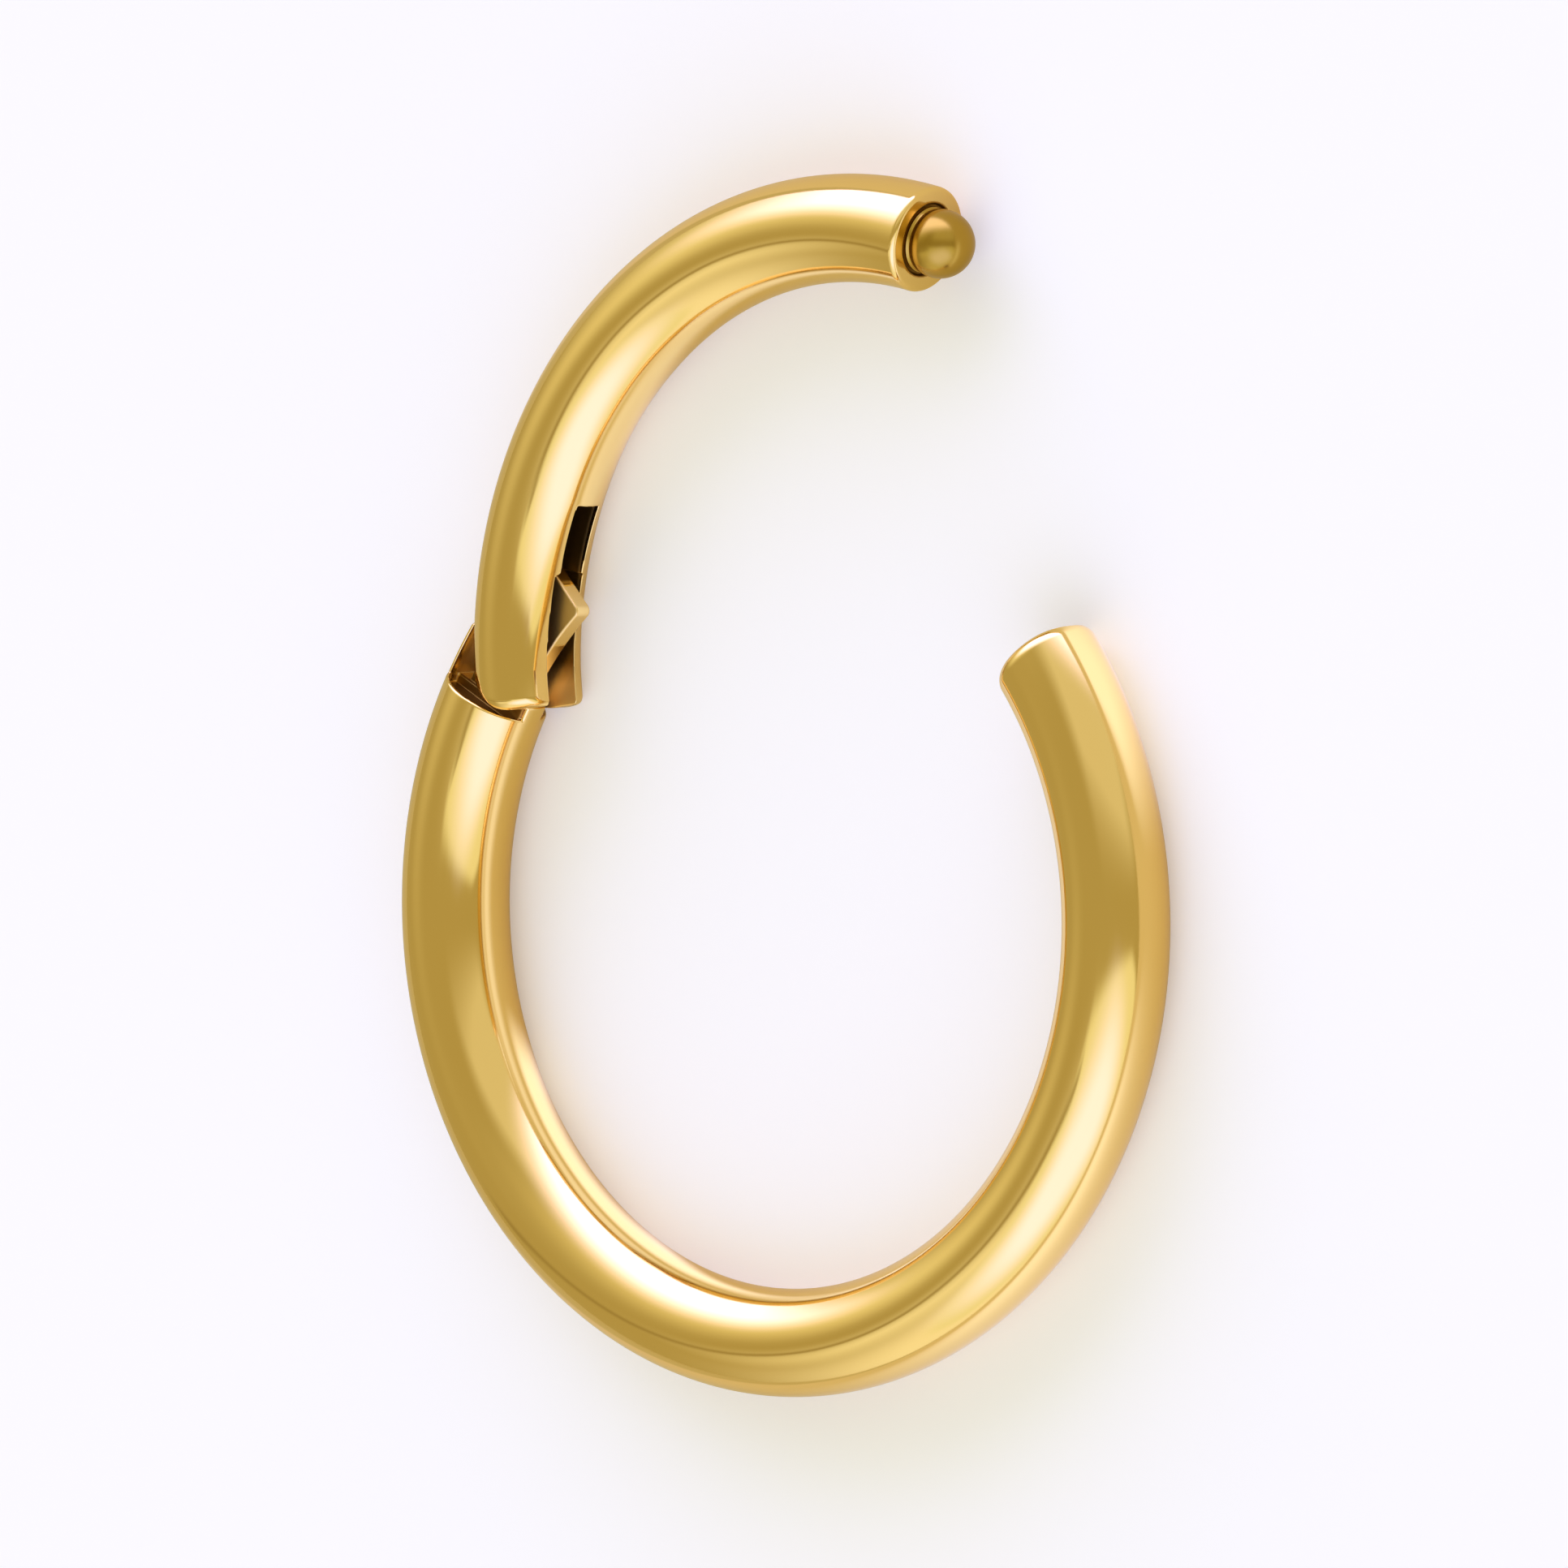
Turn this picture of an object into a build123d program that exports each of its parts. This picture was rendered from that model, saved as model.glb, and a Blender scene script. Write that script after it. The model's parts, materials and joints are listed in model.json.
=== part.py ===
"""Hinged segment ring: a round wire ring whose upper segment swings open on a pin.

Units are millimetres. The ring lies on its side: Z is the ring's axis, the floor is Z = 0 and the
origin is the ring's centre on the floor. +Y points to the top of the worn ring, and the segment's
closing end lies on the +X side. Angles are position angles round the ring, from +X towards +Y, and
lengths along the ring are taken on the wire's centreline. The segment is modelled shut and then
swung open about its pin by OPEN_ANGLE.
"""

from build123d import *
from math import atan2, cos, degrees, hypot, radians, sin, sqrt
import os

# Wire and ring
WIRE_DIAMETER = 1.6
INNER_DIAMETER = 11.1

# Where the main arc ends, and the gap that the shut segment keeps from it at each end
FREE_END_ANGLE = 39.1
SEAT_ANGLE = 151.0
END_GAP = 0.06
FREE_END_ROUNDING = 0.22
TIP_ROUNDING = 0.08

# Hinge pin, set back from the seat along the ring and a little inside the wire's centreline
PIVOT_SETBACK = 1.134
PIVOT_INSET = 0.13
OPEN_ANGLE = 38.0
STOP_SWING = 4.6
PIN_DIAMETER = 0.40
PIN_PRESS_GAP = 0.005
PIN_RUNNING_GAP = 0.02

# Tongue of the main arc: its reach past the pin, and its raised root beside the seat
TONGUE_THICKNESS = 0.31
TONGUE_REACH = 1.05
TONGUE_INNER_INSET = 0.24
TONGUE_OUTER_INSET = 0.35
TONGUE_CORNER = 0.12
LAND_WIDTH = 0.41
LAND_LENGTH = 0.266

# Slot of the segment: its reach past the pin, how far past the pin it goes right through, and the
# relief that makes it wider beside the tongue
SLOT_SIDE_GAP = 0.09
SLOT_REACH = 2.33
SLOT_FLOOR = 0.25
FORK_REACH = 0.484
RELIEF_REACH = 1.10
CHEEK_RELIEF = 0.06

# Seat of the main arc: a shallow hollow inside a thin rim, and the outer lip that stops the swing
SEAT_RIM = 0.06
SEAT_DEPTH = 0.14
LIP_THICKNESS = 0.15
LIP_LENGTH = 0.80
LIP_GAP = 0.04

# Closing peg: a stem pressed into the segment's tip, a collar in a shallow recess, and a round head.
# The collar and the waist are inset from the head's radius
STEM_DIAMETER = 0.60
STEM_LENGTH = 0.62
STEM_GAP = 0.005
COLLAR_INSET = 0.015
COLLAR_RECESS = 0.07
COLLAR_GAP = 0.04
WAIST_INSET = 0.045
HEAD_DIAMETER = 1.03
HEAD_CENTRE = 0.24
SOCKET_GAP = 0.02


def along(length):
    """The angle that a length along the wire's centreline spans."""
    return degrees(length / RING_RADIUS)


# Radii and angles that follow from the sizes above
WIRE_RADIUS = WIRE_DIAMETER / 2
RING_RADIUS = INNER_DIAMETER / 2 + WIRE_RADIUS
OUTER_RADIUS = RING_RADIUS + WIRE_RADIUS
LIP_INNER_RADIUS = OUTER_RADIUS - LIP_THICKNESS
HEAD_RADIUS = HEAD_DIAMETER / 2
COLLAR_RADIUS = HEAD_RADIUS - COLLAR_INSET
WAIST_RADIUS = HEAD_RADIUS - WAIST_INSET
STEM_RADIUS = STEM_DIAMETER / 2
PIN_RADIUS = PIN_DIAMETER / 2
SLOT_WIDTH = TONGUE_THICKNESS + 2 * SLOT_SIDE_GAP
PIVOT_RADIUS = RING_RADIUS - PIVOT_INSET
TIP_ANGLE = FREE_END_ANGLE + along(END_GAP)
HEEL_ANGLE = SEAT_ANGLE - along(END_GAP)
PIVOT_ANGLE = SEAT_ANGLE - along(PIVOT_SETBACK)
TONGUE_END_ANGLE = PIVOT_ANGLE - along(TONGUE_REACH)
SLOT_END_ANGLE = PIVOT_ANGLE - along(SLOT_REACH)
FORK_ANGLE = PIVOT_ANGLE - along(FORK_REACH)
RELIEF_ANGLE = PIVOT_ANGLE - along(RELIEF_REACH)
LAND_ANGLE = SEAT_ANGLE - along(LAND_LENGTH)
LIP_TIP_ANGLE = SEAT_ANGLE - along(LIP_LENGTH)
HEEL_RADIUS = PIVOT_RADIUS * sin(radians(HEEL_ANGLE - PIVOT_ANGLE))

# Reach of cuts and joined pieces past the faces that they meet
INSIDE = RING_RADIUS - WIRE_DIAMETER
OUTSIDE = RING_RADIUS + WIRE_DIAMETER
OVERRUN = along(WIRE_RADIUS)
FAR = 4 * OUTER_RADIUS


def ring_point(radius, angle, height=WIRE_RADIUS):
    """A point at a radius and a position angle round the ring's axis."""
    return Vector(radius * cos(radians(angle)), radius * sin(radians(angle)), height)


PIVOT = Axis(ring_point(PIVOT_RADIUS, PIVOT_ANGLE), (0, 0, 1))


def wire_arc(start, end, section_radius=WIRE_RADIUS):
    """The wire from one position angle to another, as a circle turned about the ring's axis."""
    section = Plane.XZ * Pos(RING_RADIUS, WIRE_RADIUS) * Circle(section_radius)
    return Rot(0, 0, start) * revolve(section, Axis.Z, end - start)


def sector(inner, outer, start, end, width):
    """A flat curved bar between two radii and two angles, centred on the wire's mid-height."""
    section = Plane.XZ * Pos((inner + outer) / 2, WIRE_RADIUS) * Rectangle(outer - inner, width)
    return Rot(0, 0, start) * revolve(section, Axis.Z, end - start)


def bore_along_axis(radius, centre=(0, 0, WIRE_RADIUS)):
    """A cylinder parallel to the ring's axis, longer than anything that it cuts."""
    return Pos(centre) * Cylinder(radius, FAR)


def end_rim(arc, angle):
    """The rim of an arc's flat end at a position angle."""
    ends = arc.faces().filter_by(GeomType.PLANE)
    return ends.sort_by_distance(ring_point(RING_RADIUS, angle))[0].edges()


def peg_frame():
    """The place of the closing peg: at the shut segment's tip, its Z out of the end face."""
    out = ring_point(-1, TIP_ANGLE + 90, 0)
    return Plane(origin=ring_point(RING_RADIUS, TIP_ANGLE), x_dir=(0, 0, 1), z_dir=out)


def lip_tip_shut():
    """Inner corner of the lip's tip, as the segment meets it when swung open to its stop."""
    corner = ring_point(LIP_INNER_RADIUS, LIP_TIP_ANGLE) - PIVOT.position
    return PIVOT.position + corner.rotate(Axis.Z, -(OPEN_ANGLE + STOP_SWING))


def tongue():
    """The flat tongue that carries the pin hole, with the corners of its end rounded."""
    inner = RING_RADIUS - WIRE_RADIUS + TONGUE_INNER_INSET
    outer = OUTER_RADIUS - TONGUE_OUTER_INSET
    bar = sector(inner, outer, TONGUE_END_ANGLE, SEAT_ANGLE + OVERRUN, TONGUE_THICKNESS)
    upright = bar.edges().filter_by(Axis.Z)
    corners = upright.sort_by_distance(ring_point(RING_RADIUS, TONGUE_END_ANGLE))[:2]
    return fillet(corners, TONGUE_CORNER)


def land():
    """The raised inner root of the tongue, flush with the inside of the ring."""
    root = wire_arc(LAND_ANGLE, SEAT_ANGLE + OVERRUN)
    return root & sector(INSIDE, RING_RADIUS, LAND_ANGLE, SEAT_ANGLE + OVERRUN, LAND_WIDTH)


def lip():
    """The thin outer lip that reaches over the hinge and stops the open segment."""
    return wire_arc(LIP_TIP_ANGLE, SEAT_ANGLE + OVERRUN) - bore_along_axis(LIP_INNER_RADIUS)


def seat_hollow():
    """The shallow hollow in the seat, inside its rim and beside the tongue."""
    floor = SEAT_ANGLE + along(SEAT_DEPTH)
    hollow = wire_arc(SEAT_ANGLE - OVERRUN, floor, WIRE_RADIUS - SEAT_RIM)
    beside = sector(INSIDE, OUTSIDE, SEAT_ANGLE - 2 * OVERRUN, floor + OVERRUN, LAND_WIDTH)
    return (hollow & bore_along_axis(LIP_INNER_RADIUS)) - beside


def socket():
    """The space that the peg's head needs in the free end: its shut place and its way out."""
    centre = peg_frame().origin + peg_frame().z_dir * HEAD_CENTRE
    radius = HEAD_RADIUS + SOCKET_GAP
    arm = centre - PIVOT.position
    swing_radius = hypot(arm.X, arm.Y)
    section = Plane.XZ * Pos(swing_radius, 0) * Circle(radius)
    way_out = revolve(section, Axis.Z, degrees(2 * HEAD_DIAMETER / swing_radius))
    way_out = Rot(0, 0, degrees(atan2(arm.Y, arm.X))) * way_out
    return Pos(centre) * Sphere(radius) + Pos(PIVOT.position) * way_out


def main_arc():
    """The fixed arc with its free end, socket, seat, lip and tongue, in one piece."""
    arc = wire_arc(SEAT_ANGLE, FREE_END_ANGLE + 360)
    arc = fillet(end_rim(arc, FREE_END_ANGLE), FREE_END_ROUNDING)
    arc = arc - seat_hollow() + lip() + land() + tongue()
    return arc - bore_along_axis(PIN_RADIUS + PIN_RUNNING_GAP, PIVOT.position) - socket()


def slot():
    """The slot of the segment: a pocket open to the inside, wider beside the tongue, and then right
    through the fork."""
    floor = OUTER_RADIUS - SLOT_FLOOR
    end = HEEL_ANGLE + OVERRUN
    pocket = sector(INSIDE, floor, SLOT_END_ANGLE, end, SLOT_WIDTH)
    relief = sector(INSIDE, floor, RELIEF_ANGLE, end, SLOT_WIDTH + 2 * CHEEK_RELIEF)
    return pocket + relief + sector(INSIDE, OUTSIDE, FORK_ANGLE, end, SLOT_WIDTH)


def lip_scoop():
    """The step in the segment's back that clears the lip and meets its tip at the stop."""
    out = ring_point(1, LIP_TIP_ANGLE - OPEN_ANGLE - STOP_SWING, 0)
    side = Plane(origin=lip_tip_shut(), x_dir=out, z_dir=(0, 0, 1))
    heel_side = side * Pos(0, FAR / 2) * Box(FAR, FAR, FAR)
    shell = sector(LIP_INNER_RADIUS - LIP_GAP, OUTSIDE, SLOT_END_ANGLE, HEEL_ANGLE + OVERRUN, FAR)
    return shell & heel_side


def heel_trim():
    """What the outer corner of the heel loses, so that it turns past the seat."""
    frame = Plane(origin=PIVOT.position, x_dir=ring_point(1, HEEL_ANGLE, 0), z_dir=(0, 0, 1))
    corner = Pos(FAR / 2, FAR / 2) * Box(FAR, FAR, FAR)
    return frame * (corner - Cylinder(HEEL_RADIUS, 2 * FAR))


def tip_bore(radius, depth):
    """A round hole into the segment's tip, from the end face."""
    return peg_frame() * Cylinder(radius, depth, align=(Align.CENTER, Align.CENTER, Align.MAX))


def hinged_segment():
    """The swinging segment, shut: slotted heel, scooped back and bored tip."""
    arc = wire_arc(TIP_ANGLE, HEEL_ANGLE)
    arc = fillet(end_rim(arc, TIP_ANGLE), TIP_ROUNDING)
    arc = arc - slot() - lip_scoop() - heel_trim()
    arc -= bore_along_axis(PIN_RADIUS + PIN_PRESS_GAP, PIVOT.position)
    arc -= tip_bore(STEM_RADIUS + STEM_GAP, STEM_LENGTH + STEM_GAP)
    return arc - tip_bore(COLLAR_RADIUS + COLLAR_GAP, COLLAR_RECESS)


def hinge_pin():
    """The riveted pin, its ends dressed flush with the polished cheeks."""
    rod = bore_along_axis(PIN_RADIUS, PIVOT.position)
    return rod & wire_arc(PIVOT_ANGLE - OVERRUN, PIVOT_ANGLE + OVERRUN)


def closing_peg():
    """Stem, collar and round head in one turned piece, in place at the shut segment's tip."""
    waist_height = HEAD_CENTRE - sqrt(HEAD_RADIUS**2 - WAIST_RADIUS**2)
    shoulder_height = waist_height - (COLLAR_RADIUS - WAIST_RADIUS)
    top = (0, HEAD_CENTRE + HEAD_RADIUS)
    lines = Polyline(
        top, (0, -STEM_LENGTH), (STEM_RADIUS, -STEM_LENGTH), (STEM_RADIUS, -COLLAR_RECESS),
        (COLLAR_RADIUS, -COLLAR_RECESS), (COLLAR_RADIUS, shoulder_height), (WAIST_RADIUS, waist_height),
    )
    round_end = ThreePointArc((WAIST_RADIUS, waist_height), (HEAD_RADIUS, HEAD_CENTRE), top)
    profile = Plane.XZ * make_face(lines + round_end)
    return peg_frame() * revolve(profile, Axis.Z, 360)


def swung_open(shape):
    """A shut piece of the segment, swung about the pin to its place in the open ring."""
    return shape.rotate(PIVOT, OPEN_ANGLE)


def main():
    """Write each piece in its place, with the segment open."""
    nodes = {
        "main_arc": main_arc(),
        "hinged_segment": swung_open(hinged_segment()),
        "hinge_pin": swung_open(hinge_pin()),
        "closing_peg": swung_open(closing_peg()),
    }
    os.makedirs("parts", exist_ok=True)
    for name, shape in nodes.items():
        export_step(shape, f"parts/{name}.step")
        print(name, "solids", len(shape.solids()), "volume", round(shape.volume, 3))


main()
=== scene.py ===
"""Hinged segment ring in polished gold-coloured steel, lying open on a pale floor.

The two arcs are closed surfaces where a distance field is zero, because no sheet of two parameters
holds their slot, tongue, seat and socket with small rounded edges. The pin and the peg are turned
profiles. Sizes are in millimetres until a mesh is made, and angles are position angles round the
ring in degrees, from +X towards +Y. The segment is shaped shut and then swung open about its pin.
"""

import json

import bpy
import numpy as np
from mathutils import Matrix, Vector

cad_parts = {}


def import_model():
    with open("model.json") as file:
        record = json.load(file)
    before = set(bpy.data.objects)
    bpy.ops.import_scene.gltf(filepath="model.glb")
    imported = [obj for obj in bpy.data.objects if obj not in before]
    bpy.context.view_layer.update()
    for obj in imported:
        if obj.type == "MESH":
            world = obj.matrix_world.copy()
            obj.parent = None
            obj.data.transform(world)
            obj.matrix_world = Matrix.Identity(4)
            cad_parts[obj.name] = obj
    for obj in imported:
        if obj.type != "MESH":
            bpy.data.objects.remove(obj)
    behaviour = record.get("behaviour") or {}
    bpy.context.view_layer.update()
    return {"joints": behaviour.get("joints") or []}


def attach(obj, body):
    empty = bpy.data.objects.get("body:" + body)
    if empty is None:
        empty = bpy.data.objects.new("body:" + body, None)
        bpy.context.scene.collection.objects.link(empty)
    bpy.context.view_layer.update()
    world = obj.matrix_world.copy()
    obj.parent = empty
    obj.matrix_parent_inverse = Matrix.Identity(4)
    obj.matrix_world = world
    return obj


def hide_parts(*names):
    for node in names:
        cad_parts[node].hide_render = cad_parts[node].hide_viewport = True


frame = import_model()

MM = 0.001

# Wire, ring and hinge
WIRE_RADIUS = 0.8
RING_RADIUS = 6.35
OUTER_RADIUS = RING_RADIUS + WIRE_RADIUS
PIVOT_X, PIVOT_Y = np.array(frame["joints"][0]["pos_m"][:2]) / MM
PIVOT_ANGLE = np.degrees(np.arctan2(PIVOT_Y, PIVOT_X))
PIVOT_RADIUS = np.hypot(PIVOT_X, PIVOT_Y)
OPEN_ANGLE = 38.0
STOP_SWING = 4.6
PIN_RADIUS = 0.20
PIN_RUNNING_GAP = 0.02
PIN_INSET = 0.01

# Ends of the arcs. The free end is a full turn on, so that the main arc runs from its seat up to it.
FULL_TURN = 360
FREE_END_ANGLE = 39.1 + FULL_TURN
SEAT_ANGLE = 151.0
END_GAP = 0.06
FREE_END_ROUNDING = 0.22
TIP_ROUNDING = 0.08

# Tongue, land, slot, seat and lip
TONGUE_THICKNESS = 0.31
TONGUE_REACH = 1.05
TONGUE_INNER_INSET = 0.24
TONGUE_OUTER_INSET = 0.35
TONGUE_CORNER = 0.12
ROOT_LENGTH = 0.5
LAND_WIDTH = 0.41
LAND_LENGTH = 0.266
SLOT_WIDTH = 0.49
SLOT_REACH = 2.33
SLOT_FLOOR = 0.25
FORK_REACH = 0.484
RELIEF_REACH = 1.10
CHEEK_RELIEF = 0.06
SEAT_RIM = 0.06
SEAT_DEPTH = 0.14
LIP_THICKNESS = 0.15
LIP_LENGTH = 0.80
LIP_GAP = 0.04

# Closing peg and its socket
STEM_RADIUS = 0.30
STEM_LENGTH = 0.62
STEM_GAP = 0.005
COLLAR_RADIUS = 0.50
COLLAR_RECESS = 0.07
COLLAR_GAP = 0.04
WAIST_RADIUS = 0.47
HEAD_RADIUS = 0.515
HEAD_CENTRE = 0.24
SOCKET_GAP = 0.02
STEM_END_ROUNDING = 0.03
STEM_ROOT_FILLET = 0.01
COLLAR_ROUNDING = 0.015
SHOULDER_ROUNDING = 0.012

# Polished edges
CRISP_EDGE = 0.02
SOFT_EDGE = 0.035
HEEL_EDGE = 0.16
LIP_EDGE = 0.08
RECESS_EDGE = 0.06

# Cheeks beside the slot, filed flatter at the heel: lean from the ring's plane in degrees, depth, length
# from the heel, run-out slope and the edge's radius
CHEEK_LEAN = 20.0
CHEEK_FILED = 0.10
CHEEK_LENGTH = 0.6
CHEEK_RUN_OUT = 0.05
CHEEK_EDGE = 0.05

# Matt and shade is 0 where a face is polished, HALF_DULL where it is matt and 1 where it is matt and darkened
# by painted shade. The hinge's inner faces are matt and shaded within MATT_AND_SHADE_REACH of the pin, from
# MATT_AND_SHADE_BLEND below the seat's rim, and the slot's painted shade deepens over SHADE_FADE from the
# heel.
HALF_DULL = 0.5
# The tongue's flat sides get part of the painted shade
TONGUE_MATT_AND_SHADE = 0.75
MATT_AND_SHADE_REACH = 3.0
MATT_AND_SHADE_BLEND = 0.05
SHADE_FADE = 0.35

# Coating. The polishing wheel's lines run along the wire, and the cutter's lines run round the peg. Real ones
# are finer than a pixel, so they are drawn 0.05 mm apart, as coarse as they need to show. Each pattern's
# size is given along the wire, across it and up.
POLISH_LINE_SIZE = (2.5, 0.05, 0.05)
CUTTER_LINE_SIZE = (0.05, 2.5, 2.5)
WAVE_SIZE = (2.86, 0.83, 0.83)
CLOUD_SIZE = (4.0, 1.11, 1.11)
WAVE_HEIGHT = 0.006
LINE_HEIGHT = 0.0002
MATT_ROUGHNESS = 0.42
# Dark brown of the painted shade in the hinge's slot, seat hollow, socket and recess, and partly on the
# tongue's sides
PAINTED_SHADE_COLOUR = "#8A6A2C"

# Numbers of a Mix node's colour sockets, which share their names with its other sockets
MIX_A = 6
MIX_B = 7
MIX_RESULT = 2

# Grid of the two arcs, fine where edges are small: places across and up with the spacing there, and along
# the ring the two spacings, and how far past or before a feature each of them begins or ends
WIDTH_PLACES = [-0.87, -0.62, -0.5, 0, 0.4, 0.68, 0.87]
WIDTH_STEPS = [0.03, 0.026, 0.03, 0.036, 0.03, 0.022, 0.03]
HEIGHT_PLACES = [-0.86, -0.3, -0.24, -0.14, 0.14, 0.24, 0.3, 0.86]
HEIGHT_STEPS = [0.036, 0.03, 0.02, 0.03, 0.03, 0.02, 0.03, 0.036]
FINE_SLICE = 0.027
COARSE_SLICE = 0.16
GRID_MARGIN = 0.08
FINE_PAST_SEAT = 0.3
COARSE_PAST_SEAT = 2.4
COARSE_BEFORE_END = 2.6
FINE_BEFORE_END = 1.1
FINE_PAST_TIP = 0.3
COARSE_PAST_TIP = 2.2
COARSE_BEFORE_SLOT = 1.8
FINE_BEFORE_SLOT = 0.1

# Camera: its own axes, the photo's scale, the pixel of the photo where the ring's centre lies, and a long
# lens, as the photo has hardly any perspective. It clips CLIP_SPAN times nearer and farther than the ring.
RIGHT = Vector((0.7673, 0, -0.6413))
UP = Vector((-0.0279, 0.9991, -0.0333))
TO_VIEWER = Vector((0.6407, 0.0434, 0.7666))
PICTURE = 1932
PIXELS_PER_MM = 83.48
CENTRE_PIXEL = (966.08, 1125.89)
LENS = 1400
SENSOR = 36
CLIP_SPAN = 100

# Floor: half its side in metres, and its paper's colours to the camera and in the ring's reflections, where
# it turns to a darker colour of painted shade between the two X positions of PAINTED_SHADE_SIDE, in mm
FLOOR_HALF = 1
PAPER_ROUGHNESS = 0.9
PAPER_SEEN = "#F7F8E5"
PAPER_REFLECTED = "#EBE1AF"
# Darker paper, a painted shade seen only in the ring's reflections
PAPER_PAINTED_SHADE = "#D3CB93"
PAINTED_SHADE_SIDE = (-6, -8)

# Light of the floor: a little to the camera, and the glows in the ring's reflections, each with its centre,
# size, turn, corner, soft edge (mm, degrees) and strength
SEEN_COLOUR = "#FFFFFC"
SEEN_LIGHT = 0.2
GLOW_COLOUR = "#AABCFF"
FLOOR_GLOWS = {
    "inside low": ((-3.5, -3.1), (3.8, 1.5), -45, 0.6, 0.9, 1.6),
    "inside by the hinge": ((-2.6, 3.2), (2.2, 8.5), 0, 1.0, 1.4, 0.7),
    "inside": ((1.0, -0.8), (4.0, 6.5), 0, 1.8, 3.0, 0.34),
    "right of the free end": ((8.2, 6.5), (4.5, 8.0), -28, 2.2, 3.4, 1.3),
    "low right": ((8.5, -10.0), (13, 11), 20, 4.5, 8.0, 1.0),
}

# Light of the dim room, and the panels: centre, size, turn, corner, soft edge (degrees) and light
SURROUND = (0.45, 0.39, 0.20)
PANELS = {
    "front wall": ((8, -92), (114, 112), -4, 56, 60, (0.97, 0.97, 0.96)),
    "back left wall": ((-45, 30), (60, 34), 25, 14, 30, (0.62, 0.55, 0.32)),
    "front left card": ((-15, -29), (48, 18), 4, 9, 30, (0.95, 0.95, 0.88)),
    "front ceiling": ((37, -47), (98, 74), 0, 16, 6, (0.89, 0.91, 0.78)),
    "card's edge": ((-38, -21), (76, 4), 8, 2, 5, (0.33, 0.27, 0.12)),
    "back ceiling": ((46, 58), (64, 79), 2, 5, 34, (0.82, 0.80, 0.71)),
    "key glow": ((-19, 79), (137, 76), 33, 8, 50, (0.94, 0.93, 0.74)),
    "front softbox": ((31, -45), (70, 48), 14, 24, 32, (1.2, 1.27, 2.5)),
    "key softbox": ((-5, 88), (121, 65), 21, 8, 46, (2.4, 2.3, 5.6)),
}


def along(length):
    """The angle that a length along the wire's centreline spans."""
    return np.degrees(length / RING_RADIUS)


LIP_INNER_RADIUS = OUTER_RADIUS - LIP_THICKNESS
TIP_ANGLE = FREE_END_ANGLE - FULL_TURN + along(END_GAP)
HEEL_ANGLE = SEAT_ANGLE - along(END_GAP)
TONGUE_END_ANGLE = PIVOT_ANGLE - along(TONGUE_REACH)
SLOT_END_ANGLE = PIVOT_ANGLE - along(SLOT_REACH)
FORK_ANGLE = PIVOT_ANGLE - along(FORK_REACH)
RELIEF_ANGLE = PIVOT_ANGLE - along(RELIEF_REACH)
LAND_ANGLE = SEAT_ANGLE - along(LAND_LENGTH)
LIP_TIP_ANGLE = SEAT_ANGLE - along(LIP_LENGTH)
HEEL_RADIUS = PIVOT_RADIUS * np.sin(np.radians(HEEL_ANGLE - PIVOT_ANGLE))


def unit(angle):
    """Unit vector in the ring's plane at a position angle."""
    return np.array([np.cos(np.radians(angle)), np.sin(np.radians(angle))])


def turned(points, angle, centre=(PIVOT_X, PIVOT_Y)):
    """Points turned about an upright axis: the plane part times the turn's two unit vectors."""
    out = np.array(points, float)
    plane = out[..., :2] - centre
    out[..., :2] = centre + plane[..., :1] * unit(angle) + plane[..., 1:] * unit(angle + 90)
    return out


def both(a, b, edge):
    """Field of what lies inside two fields: their maximum, with a quarter circle of radius edge where
    the two surfaces meet."""
    corner = np.hypot(np.maximum(a + edge, 0), np.maximum(b + edge, 0))
    return np.minimum(np.maximum(a, b), -edge) + corner


def either(a, b, edge):
    """Field of what lies inside one or the other field, with a fillet of radius edge between them."""
    return -both(-a, -b, edge)


def without(a, b, edge):
    """Field a with field b cut out of it, and the cut's edge rounded."""
    return both(a, -b, edge)


def polar(points, middle):
    """Radius, position angle within half a turn of the middle angle, and height."""
    x, y, z = points[..., 0], points[..., 1], points[..., 2]
    half_turn = FULL_TURN / 2
    angle = middle + (np.degrees(np.arctan2(y, x)) - middle + half_turn) % FULL_TURN - half_turn
    return np.hypot(x, y), angle, z


def before(angle, limit, radius):
    """Distance by which a point's position angle falls short of a limit, as an arc at its radius."""
    return np.radians(limit - angle) * radius


def from_pivot(points):
    """Distance from the hinge pin's axis."""
    return np.hypot(points[..., 0] - PIVOT_X, points[..., 1] - PIVOT_Y)


def peg_axis():
    """Centre of the shut segment's tip face, and the unit vector out of that face."""
    face = np.append(RING_RADIUS * unit(TIP_ANGLE), 0)
    out = np.append(-unit(TIP_ANGLE + 90), 0)
    return face, out


def socket_field(points):
    """Field of the space that the peg's head sweeps: a ball at its shut place, and a torus round the
    pivot through that place."""
    face, out = peg_axis()
    centre = face + HEAD_CENTRE * out
    radius = HEAD_RADIUS + SOCKET_GAP
    arm = centre[:2] - (PIVOT_X, PIVOT_Y)
    swing_radius = np.hypot(*arm)
    ball = np.linalg.norm(points - centre, axis=-1) - radius
    swept = np.hypot(from_pivot(points) - swing_radius, points[..., 2]) - radius
    side = (points[..., :2] - (PIVOT_X, PIVOT_Y)) @ np.array([-arm[1], arm[0]]) / swing_radius
    way_out = np.maximum(swept, -side)
    return np.minimum(ball, way_out)


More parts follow.
